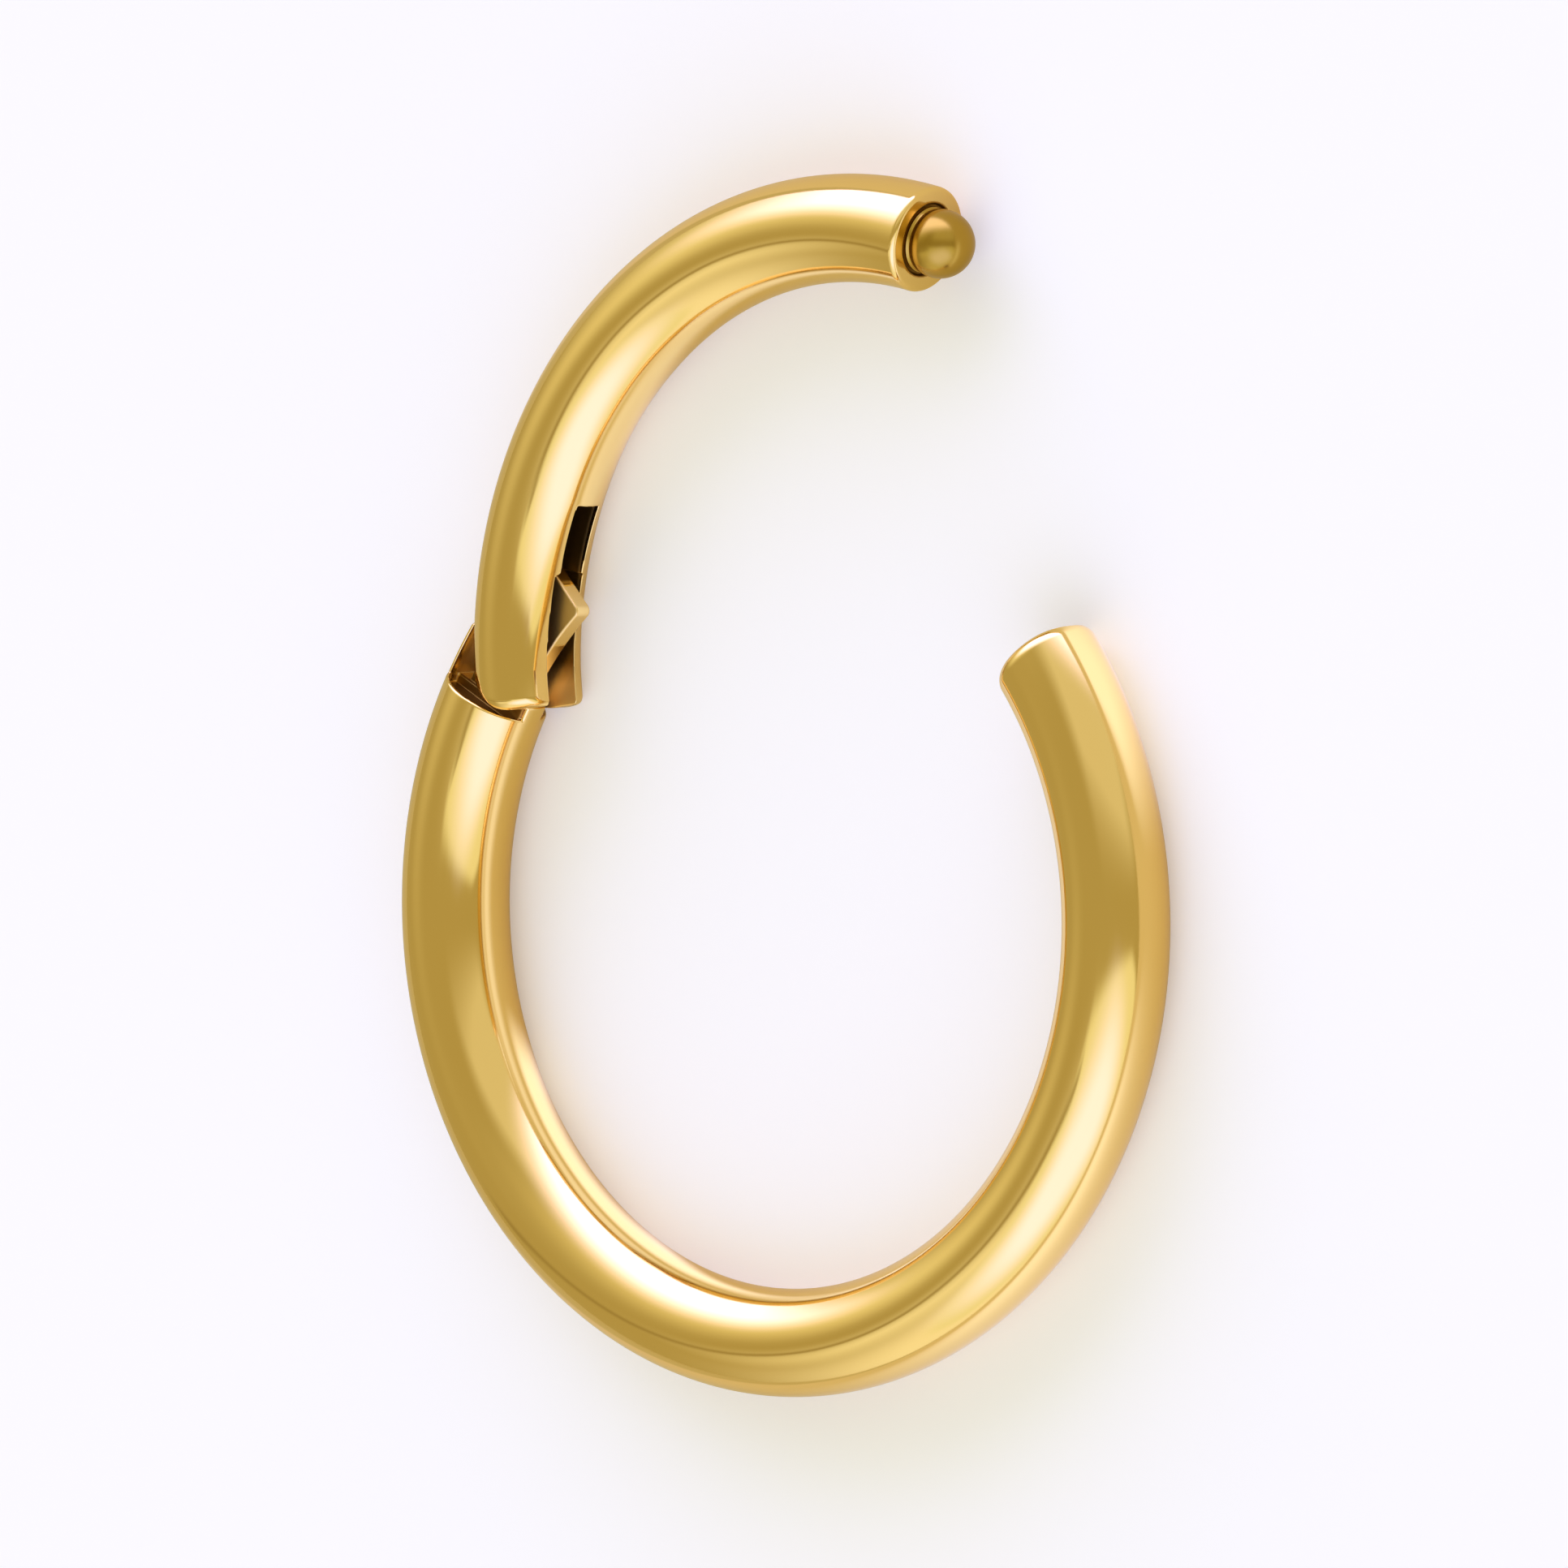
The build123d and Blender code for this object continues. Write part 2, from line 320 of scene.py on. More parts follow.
def main_arc_field(points):
    """Field of the fixed arc: the wire up to its end profile, less the hollow, pin hole and socket,
    with the tongue standing out of the seat."""
    radius, angle, height = polar(points, (SEAT_ANGLE + FREE_END_ANGLE) / 2)
    wire = np.hypot(radius - RING_RADIUS, height) - WIRE_RADIUS
    root = -before(angle, SEAT_ANGLE + along(ROOT_LENGTH), radius)
    seat = before(angle, SEAT_ANGLE, radius)
    lip = both(LIP_INNER_RADIUS - radius, before(angle, LIP_TIP_ANGLE, radius), CRISP_EDGE)
    land = both(abs(height) - LAND_WIDTH / 2, before(angle, LAND_ANGLE, radius), CRISP_EDGE)
    land = np.maximum(land, radius - RING_RADIUS)
    arc = np.minimum(both(wire, either(seat, land, CRISP_EDGE), SOFT_EDGE), both(wire, lip, LIP_EDGE))
    arc = both(arc, -before(angle, FREE_END_ANGLE, radius), FREE_END_ROUNDING)

    hollow = both(wire + SEAT_RIM, -seat - SEAT_DEPTH, CRISP_EDGE)
    hollow = both(hollow, radius - LIP_INNER_RADIUS, CRISP_EDGE)
    hollow = both(hollow, LAND_WIDTH / 2 - abs(height), CRISP_EDGE)
    arc = without(arc, hollow, CRISP_EDGE)

    inner = RING_RADIUS - WIRE_RADIUS + TONGUE_INNER_INSET
    outer = OUTER_RADIUS - TONGUE_OUTER_INSET
    plate = both(inner - radius, before(angle, TONGUE_END_ANGLE, radius), TONGUE_CORNER)
    plate = both(plate, radius - outer, TONGUE_CORNER)
    tongue = both(plate, abs(height) - TONGUE_THICKNESS / 2, SOFT_EDGE)
    tongue = np.maximum(tongue, root)
    arc = either(arc, tongue, CRISP_EDGE)
    arc = without(arc, from_pivot(points) - PIN_RADIUS - PIN_RUNNING_GAP, CRISP_EDGE)
    return without(arc, socket_field(points), SOFT_EDGE)


def lip_scoop_field(points, radius):
    """Field of the step in the segment's back: outside the lip's inner radius, on the heel's side of
    the line through the lip's tip where the swing stops."""
    direction = LIP_TIP_ANGLE - OPEN_ANGLE - STOP_SWING
    tip = turned(LIP_INNER_RADIUS * unit(LIP_TIP_ANGLE), -OPEN_ANGLE - STOP_SWING)
    heel_side = (points[..., :2] - tip) @ unit(direction + 90)
    return both(LIP_INNER_RADIUS - LIP_GAP - radius, -heel_side, CRISP_EDGE)


def segment_field(points):
    """Field of the shut segment: the wire between tip and heel, less slot, scoop and bore. The pin is
    dressed flush and its seam doesn't show, so the cheeks are closed over its ends."""
    radius, angle, height = polar(points, (TIP_ANGLE + HEEL_ANGLE) / 2)
    wire = np.hypot(radius - RING_RADIUS, height) - WIRE_RADIUS
    arc = both(wire, before(angle, TIP_ANGLE, radius), TIP_ROUNDING)
    plane = points[..., :2] - (PIVOT_X, PIVOT_Y)
    outward = np.maximum(plane @ unit(HEEL_ANGLE), 0)
    heelward = np.maximum(plane @ unit(HEEL_ANGLE + 90), 0)
    arc = both(arc, np.hypot(outward, heelward) - HEEL_RADIUS, HEEL_EDGE)
    arc = without(arc, lip_scoop_field(points, radius), SOFT_EDGE)
    heelward = np.radians(HEEL_ANGLE - angle) * RING_RADIUS
    lean = np.radians(CHEEK_LEAN)
    filed = (RING_RADIUS - radius) * np.cos(lean) + abs(height) * np.sin(lean) - WIRE_RADIUS + CHEEK_FILED
    filed = filed - np.maximum(heelward - CHEEK_LENGTH, 0) * CHEEK_RUN_OUT
    arc = both(arc, filed, CHEEK_EDGE)

    floor = radius - OUTER_RADIUS + SLOT_FLOOR
    pocket = both(floor, before(angle, SLOT_END_ANGLE, radius), CRISP_EDGE)
    opening = either(pocket, before(angle, FORK_ANGLE, radius), CRISP_EDGE)
    slot = both(opening, abs(height) - SLOT_WIDTH / 2, CRISP_EDGE)
    relief = both(floor, before(angle, RELIEF_ANGLE, radius), CRISP_EDGE)
    relief = both(relief, abs(height) - SLOT_WIDTH / 2 - CHEEK_RELIEF, CRISP_EDGE)
    arc = without(arc, either(slot, relief, CRISP_EDGE), CRISP_EDGE)

    face, out = peg_axis()
    depth = (points - face) @ out
    across = np.linalg.norm(points - face - depth[..., None] * out, axis=-1)
    recess = both(across - COLLAR_RADIUS - COLLAR_GAP, -COLLAR_RECESS - depth, CRISP_EDGE)
    bore = np.maximum(across - STEM_RADIUS - STEM_GAP, -STEM_LENGTH - STEM_GAP - depth)
    return without(without(arc, recess, RECESS_EDGE), bore, 0)


def graded(places, steps, samples=4000):
    """Grid lines whose spacing follows the steps given at some places: equal parts of the running sum
    of one over the step."""
    fine = np.linspace(places[0], places[-1], samples)
    density = 1 / np.interp(fine, places, steps)
    total = np.concatenate([[0], np.cumsum((density[1:] + density[:-1]) / 2 * np.diff(fine))])
    return np.interp(np.linspace(0, total[-1], int(np.ceil(total[-1])) + 1), total, fine)


def slices(places):
    """Position angles of the grid's slices: fine up to the second place, coarse from the third to the
    fourth, on the plain wire, and fine again from the fifth to the last."""
    steps = [FINE_SLICE, FINE_SLICE, COARSE_SLICE, COARSE_SLICE, FINE_SLICE, FINE_SLICE]
    return graded(places, along(np.array(steps)))


def bent_grid(angles):
    """Points of a grid bent round the ring: radius RING_RADIUS plus width, at an angle and a height."""
    widths = graded(WIDTH_PLACES, WIDTH_STEPS)
    heights = graded(HEIGHT_PLACES, HEIGHT_STEPS)
    angle, width, height = np.meshgrid(np.radians(angles), widths, heights, indexing="ij")
    radius = RING_RADIUS + width
    return np.stack([radius * np.cos(angle), radius * np.sin(angle), height], -1)


def cell_surface(grid, values):
    """Vertices and quads of the zero surface of values on a grid: each cell that it crosses gets one
    vertex, at the mean of the crossings on the cell's edges, and each crossed edge gets the quad of the
    four cells round it, turned to face the positive side."""
    cells = tuple(n - 1 for n in values.shape)
    total = np.zeros(cells + (3,))
    count = np.zeros(cells)
    crossings = []
    for axis in range(3):
        a = np.moveaxis(values, axis, 0)
        p = np.moveaxis(grid, axis, 0)
        crossed = (a[:-1] < 0) != (a[1:] < 0)
        place = np.nonzero(crossed)
        share = (a[:-1][place] / (a[:-1][place] - a[1:][place]))[:, None]
        point = p[:-1][place] * (1 - share) + p[1:][place] * share
        low_inside = a[:-1][place] < 0
        index = np.stack(place, -1)
        order = [1, 2]
        order.insert(axis, 0)
        index = index[:, order]
        others = [k for k in range(3) if k != axis]
        ring = []
        for step_a, step_b in ((0, 0), (-1, 0), (-1, -1), (0, -1)):
            cell = index.copy()
            cell[:, others[0]] += step_a
            cell[:, others[1]] += step_b
            ring.append(cell)
            np.add.at(total, tuple(cell.T), point)
            np.add.at(count, tuple(cell.T), 1)
        quad = np.stack([np.ravel_multi_index(tuple(c.T), cells) for c in ring], -1)
        flip = low_inside != (axis == 1)
        quad[flip] = quad[flip][:, ::-1]
        crossings.append(quad)
    used = np.flatnonzero(count.ravel())
    number = np.full(count.size, -1)
    number[used] = np.arange(len(used))
    vertices = total.reshape(-1, 3)[used] / count.ravel()[used][:, None]
    return vertices, number[np.concatenate(crossings)]


def slope(field, points, step=1e-4):
    """Gradient of a field by central differences."""
    shifts = step * np.eye(3)
    return np.stack([field(points + s) - field(points - s) for s in shifts], -1) / (2 * step)


def settle(field, points, quads, rounds=6, share=0.5, farthest=0.02, least_square=1e-3):
    """Vertices moved onto the zero surface and spread evenly over it: each round takes a share of the way
    to the neighbours' mean along the surface, then two Newton steps down the gradient. A step takes the
    field as farthest at most, and the gradient's square as least_square at least."""
    start, end = quads.ravel(), np.roll(quads, -1, axis=1).ravel()
    degree = np.bincount(start, minlength=len(points)) + np.bincount(end, minlength=len(points))
    for turn in range(rounds + 1):
        for _ in range(2):
            gradient = slope(field, points)
            square = np.maximum((gradient**2).sum(-1), least_square)
            points = points - (np.clip(field(points), -farthest, farthest) / square)[:, None] * gradient
        normal = gradient / np.sqrt(square)[:, None]
        if turn == rounds:
            return points, normal
        total = np.stack([np.bincount(start, points[end, k], len(points))
                          + np.bincount(end, points[start, k], len(points)) for k in range(3)], -1)
        move = share * (total / degree[:, None] - points)
        points = points + move - (move * normal).sum(-1)[:, None] * normal


def straightened(points, middle):
    """Wire coordinates for the polish: length along the centreline, offset from it, and height."""
    radius, angle, height = polar(points, middle)
    return np.stack([np.radians(angle) * RING_RADIUS, radius - RING_RADIUS, height], -1)


def under_surface(wire_place):
    """Share from 0 on the wire's round surface and the seat's rim to 1 a little below it."""
    depth = WIRE_RADIUS - np.hypot(wire_place[:, 1], wire_place[:, 2])
    return np.clip((depth - SEAT_RIM) / MATT_AND_SHADE_BLEND, 0, 1)


def main_arc_finish_and_shade(points, wire_place):
    """The tongue's flat sides, the seat's hollow and the socket are matt and darkened by painted shade,
    the tongue's sides less. The tongue's rim is polished, and the lip's inner face is matt."""
    height = abs(wire_place[:, 2])
    flat = np.clip((height - TONGUE_THICKNESS / 2) / SOFT_EDGE + 1, 0, 1)
    on_lip = wire_place[:, 1] > LIP_INNER_RADIUS - RING_RADIUS - 2 * CRISP_EDGE
    on_tongue = wire_place[:, 0] < np.radians(LAND_ANGLE) * RING_RADIUS
    # Painted shade: the tongue's flat sides are darkened partly and the seat's hollow fully; the lip is matt
    # only
    matt_shade_share = np.where(on_lip, HALF_DULL, flat * np.where(on_tongue, TONGUE_MATT_AND_SHADE, 1))
    matt_shade_share = matt_shade_share * (from_pivot(points) < MATT_AND_SHADE_REACH)
    # Painted shade in the socket
    socket = np.clip(1 - abs(socket_field(points)) / SOFT_EDGE, 0, 1)
    return under_surface(wire_place) * np.maximum(matt_shade_share, socket)


def segment_finish_and_shade(points, wire_place):
    """The slot and the collar's recess are matt and darkened by painted shade, the slot's shade lighter
    towards the heel. Heel, back and tip are polished."""
    inside = abs(wire_place[:, 2]) < SLOT_WIDTH / 2 + CHEEK_RELIEF + CRISP_EDGE
    heelward = np.radians(HEEL_ANGLE) * RING_RADIUS - wire_place[:, 0]
    # Painted shade in the slot, deepening away from the heel
    deeper_shade = np.clip(heelward / SHADE_FADE - 1, 0, 1)
    slot = inside * (HALF_DULL + (1 - HALF_DULL) * deeper_shade) * (from_pivot(points) < MATT_AND_SHADE_REACH)
    face, out = peg_axis()
    # Painted shade in the collar's recess
    recess = np.clip(-(points - face) @ out / CRISP_EDGE, 0, 1)
    recess = recess * (np.linalg.norm(points - face, axis=-1) < COLLAR_RADIUS + 2 * RECESS_EDGE)
    return under_surface(wire_place) * np.maximum(slot, recess)


def add_piece(name, points, quads, normals, wire_place, matt_and_painted_shade, body, finish):
    """Mesh object in metres from points in millimetres, raised by the wire's radius onto the floor, with
    smooth faces, the given normals and the two attributes that its finish reads."""
    mesh = bpy.data.meshes.new(name)
    points = points + (0, 0, WIRE_RADIUS)
    mesh.from_pydata(points * MM, [], quads)
    mesh.polygons.foreach_set("use_smooth", np.ones(len(quads), bool))
    mesh.update()
    mesh.normals_split_custom_set_from_vertices(normals)
    attribute = mesh.attributes.new("wire_place", "FLOAT_VECTOR", "POINT")
    attribute.data.foreach_set("vector", wire_place.astype(np.float32).ravel())
    attribute = mesh.attributes.new("matt_and_painted_shade", "FLOAT", "POINT")
    attribute.data.foreach_set("value", matt_and_painted_shade.astype(np.float32))
    piece = bpy.data.objects.new(name, mesh)
    bpy.context.scene.collection.objects.link(piece)
    mesh.materials.append(finish)
    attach(piece, body)
    return piece


def field_piece(name, field, matt_shade_share, angles, swing, body, finish):
    """Piece from a field: its zero surface on the bent grid, settled, and swung about the pivot."""
    grid = bent_grid(angles)
    points, quads = cell_surface(grid, field(grid))
    points, normals = settle(field, points, quads)
    wire_place = straightened(points, (angles[0] + angles[-1]) / 2)
    matt_and_painted_shade = matt_shade_share(points, wire_place)
    normals = turned(normals, swing, (0, 0))
    return add_piece(name, turned(points, swing), quads, normals, wire_place, matt_and_painted_shade, body, finish)


def rounded_profile(corners, radii, steps=7):
    """Straight runs between corners (radius, height), each corner of the given radius replaced by the
    arc that touches both runs: the arc's middle lies on the corner's bisector."""
    corners = np.array(corners, float)
    points = [corners[:1]]
    for before_it, corner, after_it, radius in zip(corners, corners[1:], corners[2:], radii):
        back = (before_it - corner) / np.linalg.norm(before_it - corner)
        ahead = (after_it - corner) / np.linalg.norm(after_it - corner)
        half = np.arccos(np.clip(back @ ahead, -1, 1)) / 2
        middle = corner + (back + ahead) / np.linalg.norm(back + ahead) * radius / np.sin(half)
        first = corner + back * radius / np.tan(half) - middle
        last = corner + ahead * radius / np.tan(half) - middle
        share = np.linspace(0, 1, steps)[:, None]
        between = np.pi - 2 * half
        arc = (np.sin((1 - share) * between) * first + np.sin(share * between) * last) / np.sin(between)
        points.append(middle + arc)
    points.append(corners[-1:])
    return np.concatenate(points)


def turned_surface(rings):
    """Quads and end triangles of a closed surface whose rows go from one pole to the other. The rows
    between are rings of equal length, and each pole is one point, first and last."""
    rows, around = rings
    start = 1 + np.arange(rows - 1)[:, None] * around + np.arange(around)
    after = 1 + np.arange(rows - 1)[:, None] * around + (np.arange(around) + 1) % around
    quads = np.stack([start, after, after + around, start + around], -1).reshape(-1, 4)
    first = np.stack([np.zeros(around, int), after[0], start[0]], -1)
    last_row = (rows - 1) * around
    end = np.full(around, 1 + rows * around)
    last = np.stack([end, start[0] + last_row, after[0] + last_row], -1)
    return quads.tolist() + first.tolist() + last.tolist()


def closing_peg(around=96, ball_rows=60):
    """Stem, collar and ball head turned in one piece: the profile's radius swept round the peg's axis,
    with normals square to the profile."""
    waist_height = HEAD_CENTRE - np.sqrt(HEAD_RADIUS**2 - WAIST_RADIUS**2)
    shoulder_height = waist_height - (COLLAR_RADIUS - WAIST_RADIUS)
    runs = rounded_profile(
        [(0, -STEM_LENGTH), (STEM_RADIUS, -STEM_LENGTH), (STEM_RADIUS, -COLLAR_RECESS),
         (COLLAR_RADIUS, -COLLAR_RECESS), (COLLAR_RADIUS, shoulder_height), (WAIST_RADIUS, waist_height)],
        [STEM_END_ROUNDING, STEM_ROOT_FILLET, COLLAR_ROUNDING, SHOULDER_ROUNDING])
    lean = np.linspace(np.arctan2(WAIST_RADIUS, waist_height - HEAD_CENTRE), 0, ball_rows)[1:]
    ball = np.stack([HEAD_RADIUS * np.sin(lean), HEAD_CENTRE + HEAD_RADIUS * np.cos(lean)], -1)
    profile = np.concatenate([runs, ball])
    along_profile = np.gradient(profile, axis=0)
    square = np.stack([along_profile[:, 1], -along_profile[:, 0]], -1)
    square /= np.linalg.norm(square, axis=1)[:, None]
    square[[0, -1]] = [(0, -1), (0, 1)]

    face, out = peg_axis()
    angle = np.linspace(0, 2 * np.pi, around, endpoint=False)
    inward = np.append(-unit(TIP_ANGLE), 0)
    spoke = np.cos(angle)[:, None] * inward + np.sin(angle)[:, None] * np.cross(out, inward)

    def swept(pairs):
        """Pairs (away from the axis, along it) carried round the axis, with a pole for the end pairs."""
        rings = pairs[1:-1, None, :1] * spoke + pairs[1:-1, None, 1:] * out
        return np.concatenate([[pairs[0, 1] * out], rings.reshape(-1, 3), [pairs[-1, 1] * out]])

    faces = turned_surface((len(profile) - 2, around))
    return face + swept(profile), faces, swept(square)


def hinge_pin(around=64, rows=7, smallest=0.15):
    """Riveted pin dressed flush: rings about the pivot, just inside the wire's lower surface, then up
    the side and over the upper surface. Heights solve the wire's circle at each point's distance from
    the ring's axis. The rings grow from the smallest share of the pin's radius to all of it."""
    share = np.linspace(smallest, 1, rows)
    reach = PIN_RADIUS * np.concatenate([share, share[::-1]])
    side = np.repeat([-1, 1], rows)
    angle = np.linspace(0, 2 * np.pi, around, endpoint=False)
    x = np.concatenate([[0], np.outer(reach, np.cos(angle)).ravel(), [0]]) + PIVOT_X
    y = np.concatenate([[0], np.outer(reach, np.sin(angle)).ravel(), [0]]) + PIVOT_Y
    side = np.concatenate([[-1], np.repeat(side, around), [1]])
    offset = np.hypot(x, y) - RING_RADIUS
    height = side * (np.sqrt(WIRE_RADIUS**2 - offset**2) - PIN_INSET)
    points = np.stack([x, y, height], -1)
    ring = np.stack([x, y], -1) / np.hypot(x, y)[:, None]
    normals = np.column_stack([ring * offset[:, None], height]) / WIRE_RADIUS
    return points, turned_surface((len(reach), around)), normals


def linear(colour):
    """Linear colour with alpha from an sRGB hex value."""
    parts = np.array([int(colour[i:i + 2], 16) for i in (1, 3, 5)]) / 255
    return (*np.where(parts <= 0.04045, parts / 12.92, ((parts + 0.055) / 1.055) ** 2.4), 1)


def add_node(tree, kind, settings=None, sockets=None):
    """One node: attributes from settings, and for each input, by name or number, a value or a link."""
    node = tree.nodes.new(kind)
    for key, value in (settings or {}).items():
        setattr(node, key, value)
    for key, value in (sockets or {}).items():
        if isinstance(value, bpy.types.NodeSocket):
            tree.links.new(value, node.inputs[key])
        else:
            node.inputs[key].default_value = value
    return node


def soft_rectangle(tree, chart, centre, size, turn, corner, soft):
    """Mask of a rectangle with round corners and a soft edge, on a chart of flat coordinates: how far a
    place lies beyond the rectangle less its corners, taken from 1 to 0 across the soft edge."""
    place = add_node(tree, "ShaderNodeMapping", {"vector_type": "TEXTURE"},
                     {"Vector": chart, "Location": (*centre, 0), "Rotation": (0, 0, np.radians(turn))})
    half = add_node(tree, "ShaderNodeVectorMath", {"operation": "ABSOLUTE"}, {0: place.outputs["Vector"]})
    beyond = add_node(tree, "ShaderNodeVectorMath", {"operation": "SUBTRACT"},
                      {0: half.outputs["Vector"], 1: (size[0] / 2 - corner, size[1] / 2 - corner, 0)})
    outside = add_node(tree, "ShaderNodeVectorMath", {"operation": "MAXIMUM"},
                       {0: beyond.outputs["Vector"], 1: (0, 0, 0)})
    length = add_node(tree, "ShaderNodeVectorMath", {"operation": "LENGTH"}, {0: outside.outputs["Vector"]})
    mask = add_node(tree, "ShaderNodeMapRange", {"interpolation_type": "SMOOTHSTEP"},
                    {"Value": length.outputs["Value"],
                     "From Min": corner + soft / 2, "From Max": corner - soft / 2})
    return mask.outputs["Result"]


def gold_coated_steel(finish, line_size, shine, light, lighter):
    """Surgical steel with a gold-coloured coating. To the eye: soft edged reflections that waver a little
    where the face isn't quite round, faint lines from the tool or the polishing wheel, and a matt finish
    on the hinge's inner faces, darkened there by painted shade. The finish sets the lines' size, the range
    of roughness and the coating's two tones."""
    material = bpy.data.materials.new("gold_coated_steel_" + finish)
    material.use_nodes = True
    tree = material.node_tree
    shader = tree.nodes["Principled BSDF"]
    place = add_node(tree, "ShaderNodeAttribute", {"attribute_name": "wire_place"}).outputs["Vector"]
    matt_shade_share = add_node(tree, "ShaderNodeAttribute", {"attribute_name": "matt_and_painted_shade"}).outputs["Fac"]

    patterns = []
    for size, detail in ((line_size, 2), (WAVE_SIZE, 1), (CLOUD_SIZE, 2)):
        stretched = add_node(tree, "ShaderNodeVectorMath", {"operation": "DIVIDE"}, {0: place, 1: size})
        pattern = add_node(tree, "ShaderNodeTexNoise", None,
                           {"Vector": stretched.outputs["Vector"], "Scale": 1, "Detail": detail})
        patterns.append(pattern.outputs["Fac"])
    lines, waves, clouds = patterns

    coating = add_node(tree, "ShaderNodeMix", {"data_type": "RGBA"},
                       {"Factor": clouds, MIX_A: linear(light), MIX_B: linear(lighter)})
    # Painted shade: from the matt level up, the coating is mixed towards a dark brown that stands in for
    # shade in the hinge's recesses
    shade_mix = add_node(tree, "ShaderNodeMapRange", None, {"Value": matt_shade_share, "From Min": HALF_DULL, "From Max": 1})
    colour = add_node(tree, "ShaderNodeMix", {"data_type": "RGBA"},
                      {"Factor": shade_mix.outputs["Result"], MIX_A: coating.outputs[MIX_RESULT],
                       MIX_B: linear(PAINTED_SHADE_COLOUR)})
    sharp = add_node(tree, "ShaderNodeMapRange", None,
                     {"Value": lines, "To Min": shine[0], "To Max": shine[1]})
    rough = add_node(tree, "ShaderNodeMapRange", None,
                     {"Value": matt_shade_share, "From Max": HALF_DULL, "To Min": sharp.outputs["Result"],
                      "To Max": MATT_ROUGHNESS})
    wavy = add_node(tree, "ShaderNodeBump", None,
                    {"Height": waves, "Strength": 1, "Distance": WAVE_HEIGHT * MM})
    fine = add_node(tree, "ShaderNodeBump", None,
                    {"Height": lines, "Strength": 1, "Distance": LINE_HEIGHT * MM,
                     "Normal": wavy.outputs["Normal"]})
    shader.inputs["Metallic"].default_value = 1
    tree.links.new(colour.outputs[MIX_RESULT], shader.inputs["Base Color"])
    tree.links.new(rough.outputs["Result"], shader.inputs["Roughness"])
    tree.links.new(fine.outputs["Normal"], shader.inputs["Normal"])
    return material


def floor_paper():
    """Pale uncoated paper, rough and without shine. It tells the camera's own rays from all others. To the
    camera it is plain and gives off a little light, as the ground of a cut-out picture. In the ring's
    reflections it is darker towards the hinge side, a painted shade, and gives off the floor's glows, added
    up."""
    material = bpy.data.materials.new("floor_paper")
    material.use_nodes = True
    tree = material.node_tree
    shader = tree.nodes["Principled BSDF"]
    seen = add_node(tree, "ShaderNodeLightPath").outputs["Is Camera Ray"]
    place = add_node(tree, "ShaderNodeTexCoord").outputs["Object"]
    chart = add_node(tree, "ShaderNodeVectorMath", {"operation": "SCALE"}, {0: place, "Scale": 1 / MM})
    parts = add_node(tree, "ShaderNodeSeparateXYZ", None, {"Vector": chart.outputs["Vector"]})
    light = 0
    for centre, size, turn, corner, soft, strength in FLOOR_GLOWS.values():
        mask = soft_rectangle(tree, chart.outputs["Vector"], centre, size, turn, corner, soft)
        total = add_node(tree, "ShaderNodeMath", {"operation": "MULTIPLY_ADD"},
                         {0: mask, 1: strength, 2: light})
        light = total.outputs["Value"]
    strength = add_node(tree, "ShaderNodeMix", {"data_type": "FLOAT"},
                        {"Factor": seen, "A": light, "B": SEEN_LIGHT})
    # Painted shade: in reflections the paper turns darker on the side beyond these X positions
    side = add_node(tree, "ShaderNodeMapRange", {"interpolation_type": "SMOOTHSTEP"},
                    {"Value": parts.outputs["X"], "From Min": PAINTED_SHADE_SIDE[0], "From Max": PAINTED_SHADE_SIDE[1]})
    reflected = add_node(tree, "ShaderNodeMix", {"data_type": "RGBA"},
                         {"Factor": side.outputs["Result"], MIX_A: linear(PAPER_REFLECTED),
                          MIX_B: linear(PAPER_PAINTED_SHADE)})
    paper = add_node(tree, "ShaderNodeMix", {"data_type": "RGBA"},
                     {"Factor": seen, MIX_A: reflected.outputs[MIX_RESULT], MIX_B: linear(PAPER_SEEN)})
    glow = add_node(tree, "ShaderNodeMix", {"data_type": "RGBA"},
                    {"Factor": seen, MIX_A: linear(GLOW_COLOUR), MIX_B: linear(SEEN_COLOUR)})
    shader.inputs["Roughness"].default_value = PAPER_ROUGHNESS
    shader.inputs["Specular IOR Level"].default_value = 0
    tree.links.new(paper.outputs[MIX_RESULT], shader.inputs["Base Color"])
    tree.links.new(glow.outputs[MIX_RESULT], shader.inputs["Emission Color"])
    tree.links.new(strength.outputs["Result"], shader.inputs["Emission Strength"])
    return material


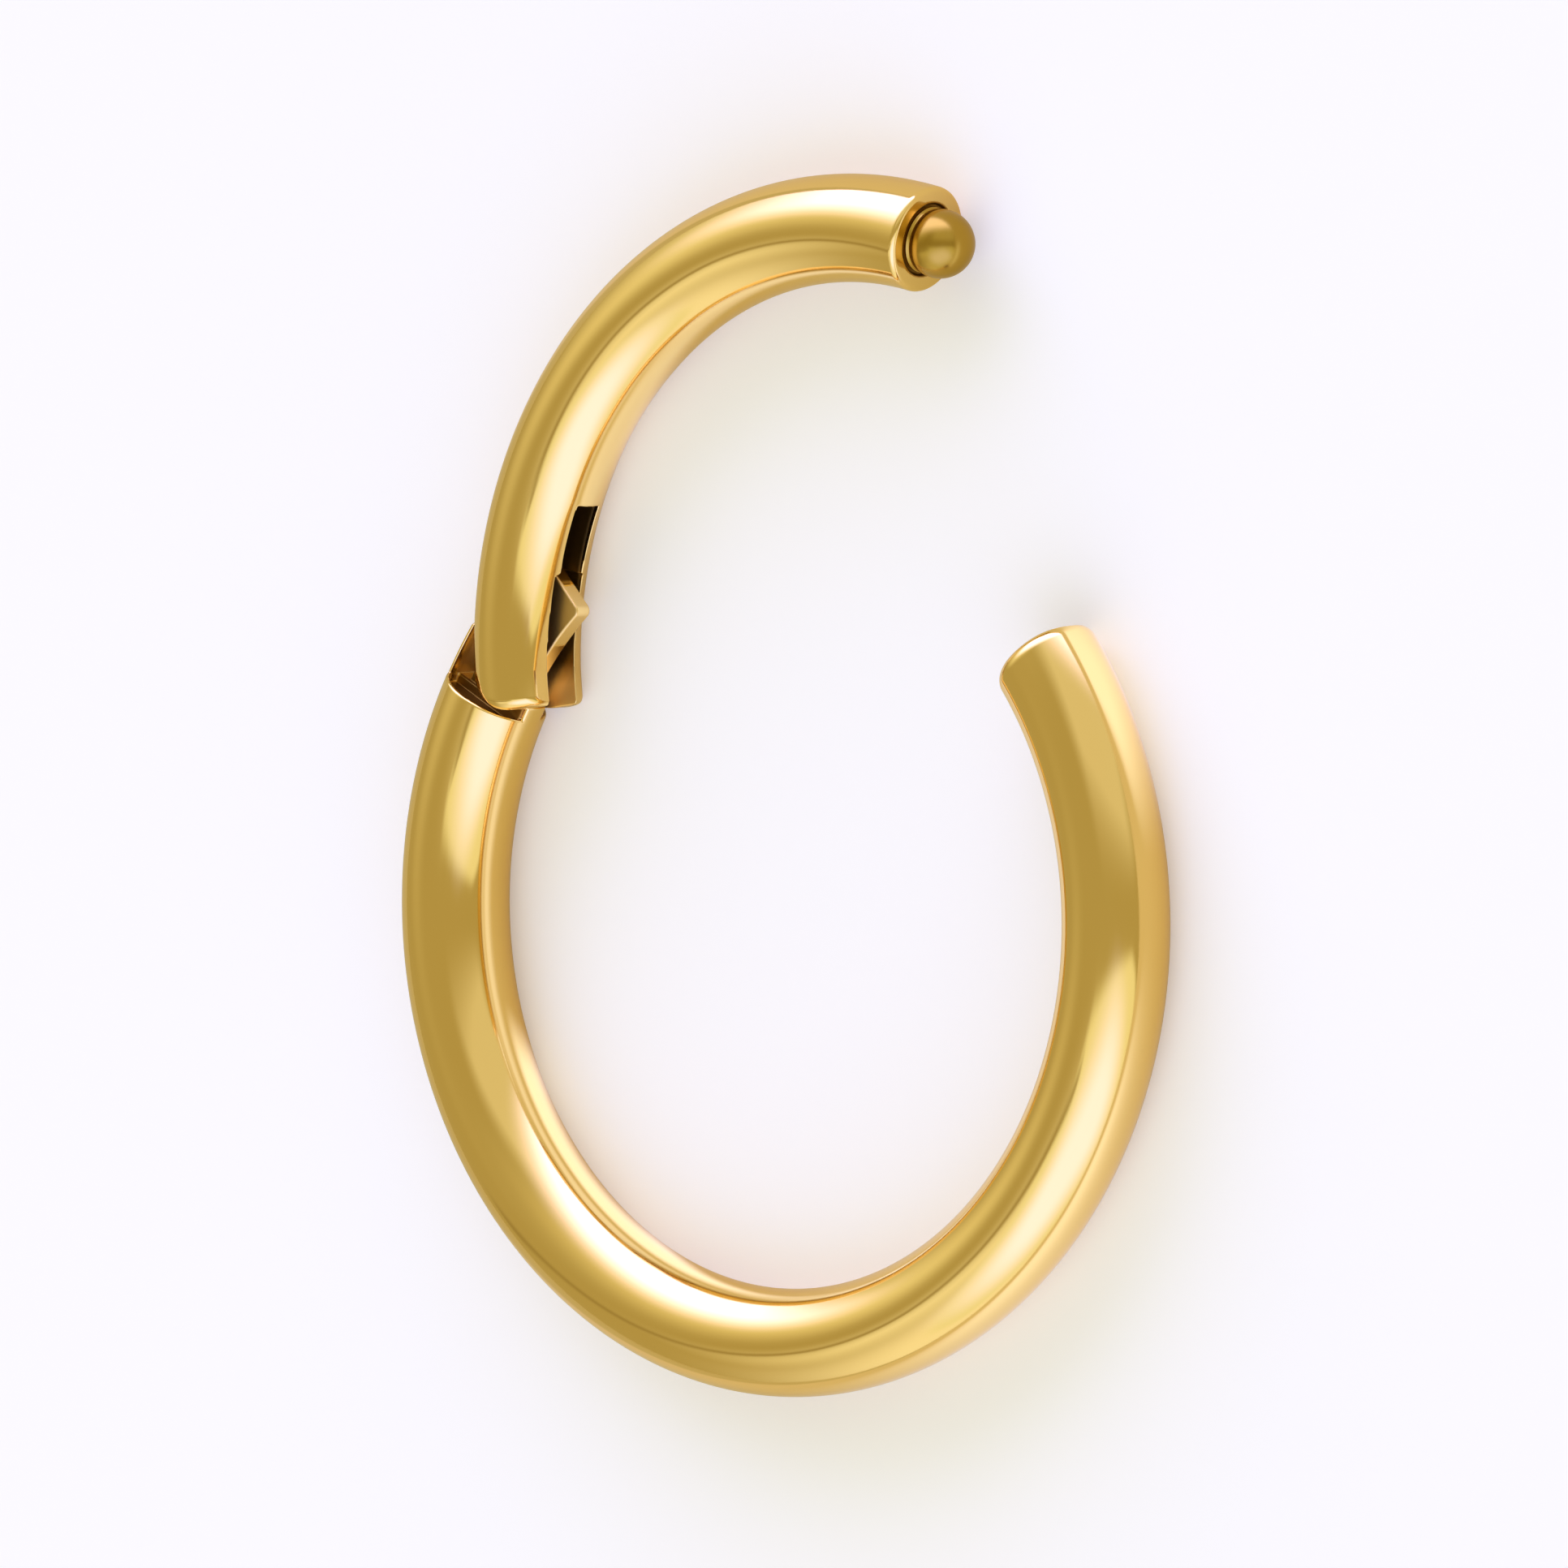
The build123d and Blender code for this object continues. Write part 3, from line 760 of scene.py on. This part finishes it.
def studio():
    """Soft panels over the ring, drawn on a chart of the sky: degrees from the zenith, with +X to the
    right and +Y up. Each is a rectangle with round corners and a soft edge, laid over the ones before."""
    world = bpy.data.worlds.new("studio")
    bpy.context.scene.world = world
    world.use_nodes = True
    tree = world.node_tree
    direction = add_node(tree, "ShaderNodeTexCoord").outputs["Generated"]
    parts = add_node(tree, "ShaderNodeSeparateXYZ", None, {"Vector": direction})
    lean = add_node(tree, "ShaderNodeMath", {"operation": "ARCCOSINE"}, {"Value": parts.outputs["Z"]})
    degrees = add_node(tree, "ShaderNodeMath", {"operation": "DEGREES"}, {"Value": lean.outputs["Value"]})
    flat = add_node(tree, "ShaderNodeCombineXYZ", None, {"X": parts.outputs["X"], "Y": parts.outputs["Y"]})
    bearing = add_node(tree, "ShaderNodeVectorMath", {"operation": "NORMALIZE"}, {0: flat.outputs["Vector"]})
    chart = add_node(tree, "ShaderNodeVectorMath", {"operation": "SCALE"},
                     {0: bearing.outputs["Vector"], "Scale": degrees.outputs["Value"]})
    sky = (*SURROUND, 1)
    for centre, size, turn, corner, soft, colour in PANELS.values():
        mask = soft_rectangle(tree, chart.outputs["Vector"], centre, size, turn, corner, soft)
        covered = add_node(tree, "ShaderNodeMix", {"data_type": "RGBA"},
                           {"Factor": mask, MIX_A: sky, MIX_B: (*colour, 1)})
        sky = covered.outputs[MIX_RESULT]
    tree.links.new(sky, tree.nodes["Background"].inputs["Color"])


# The peg is less polished than the arcs and looks darker in the photo, and the pin has its finish
polished = gold_coated_steel("polished", POLISH_LINE_SIZE, (0.07, 0.12), "#FFDA84", "#FFDE8E")
as_turned = gold_coated_steel("as_turned", CUTTER_LINE_SIZE, (0.2, 0.28), "#BC983E", "#C6A244")

margin = along(GRID_MARGIN)
main_angles = slices([
    TONGUE_END_ANGLE - margin, SEAT_ANGLE + along(FINE_PAST_SEAT), SEAT_ANGLE + along(COARSE_PAST_SEAT),
    FREE_END_ANGLE - along(COARSE_BEFORE_END), FREE_END_ANGLE - along(FINE_BEFORE_END),
    FREE_END_ANGLE + margin])
segment_angles = slices([
    TIP_ANGLE - margin, TIP_ANGLE + along(FINE_PAST_TIP), TIP_ANGLE + along(COARSE_PAST_TIP),
    SLOT_END_ANGLE - along(COARSE_BEFORE_SLOT), SLOT_END_ANGLE - along(FINE_BEFORE_SLOT),
    HEEL_ANGLE + margin])

main_arc = field_piece("main_arc_polished", main_arc_field, main_arc_finish_and_shade, main_angles, 0, "main_arc",
                       polished)
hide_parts("main_arc")
segment = field_piece("hinged_segment_polished", segment_field, segment_finish_and_shade, segment_angles,
                      OPEN_ANGLE, "segment", polished)
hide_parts("hinged_segment")
for name, (points, faces, normals) in (("hinge_pin", hinge_pin()), ("closing_peg", closing_peg())):
    place = straightened(points, (TIP_ANGLE + HEEL_ANGLE) / 2)
    normals = turned(normals, OPEN_ANGLE, (0, 0))
    piece = add_piece(name + "_polished", turned(points, OPEN_ANGLE), faces, normals, place,
                      np.zeros(len(points)), "segment", as_turned)
    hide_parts(name)

camera = bpy.data.objects.new("camera", bpy.data.cameras.new("camera"))
bpy.context.scene.collection.objects.link(camera)
bpy.context.scene.camera = camera
distance = LENS / SENSOR * PICTURE / PIXELS_PER_MM * MM
right_of_centre = PICTURE / 2 - CENTRE_PIXEL[0]
over_centre = CENTRE_PIXEL[1] - PICTURE / 2
ring_centre = Vector((0, 0, WIRE_RADIUS * MM))
aim = ring_centre + (RIGHT * right_of_centre + UP * over_centre) / PIXELS_PER_MM * MM
camera.data.lens = LENS
camera.data.sensor_width = SENSOR
camera.data.clip_start = distance / CLIP_SPAN
camera.data.clip_end = distance * CLIP_SPAN
facing = Matrix((RIGHT, UP, TO_VIEWER)).transposed().to_4x4()
camera.matrix_world = Matrix.Translation(aim + TO_VIEWER * distance) @ facing

floor = bpy.data.objects.new("floor", bpy.data.meshes.new("floor"))
corners = [(x * FLOOR_HALF, y * FLOOR_HALF, 0) for x, y in ((-1, -1), (1, -1), (1, 1), (-1, 1))]
floor.data.from_pydata(corners, [], [(0, 1, 2, 3)])
bpy.context.scene.collection.objects.link(floor)
floor.data.materials.append(floor_paper())

studio()
bpy.context.scene.view_settings.view_transform = "Standard"
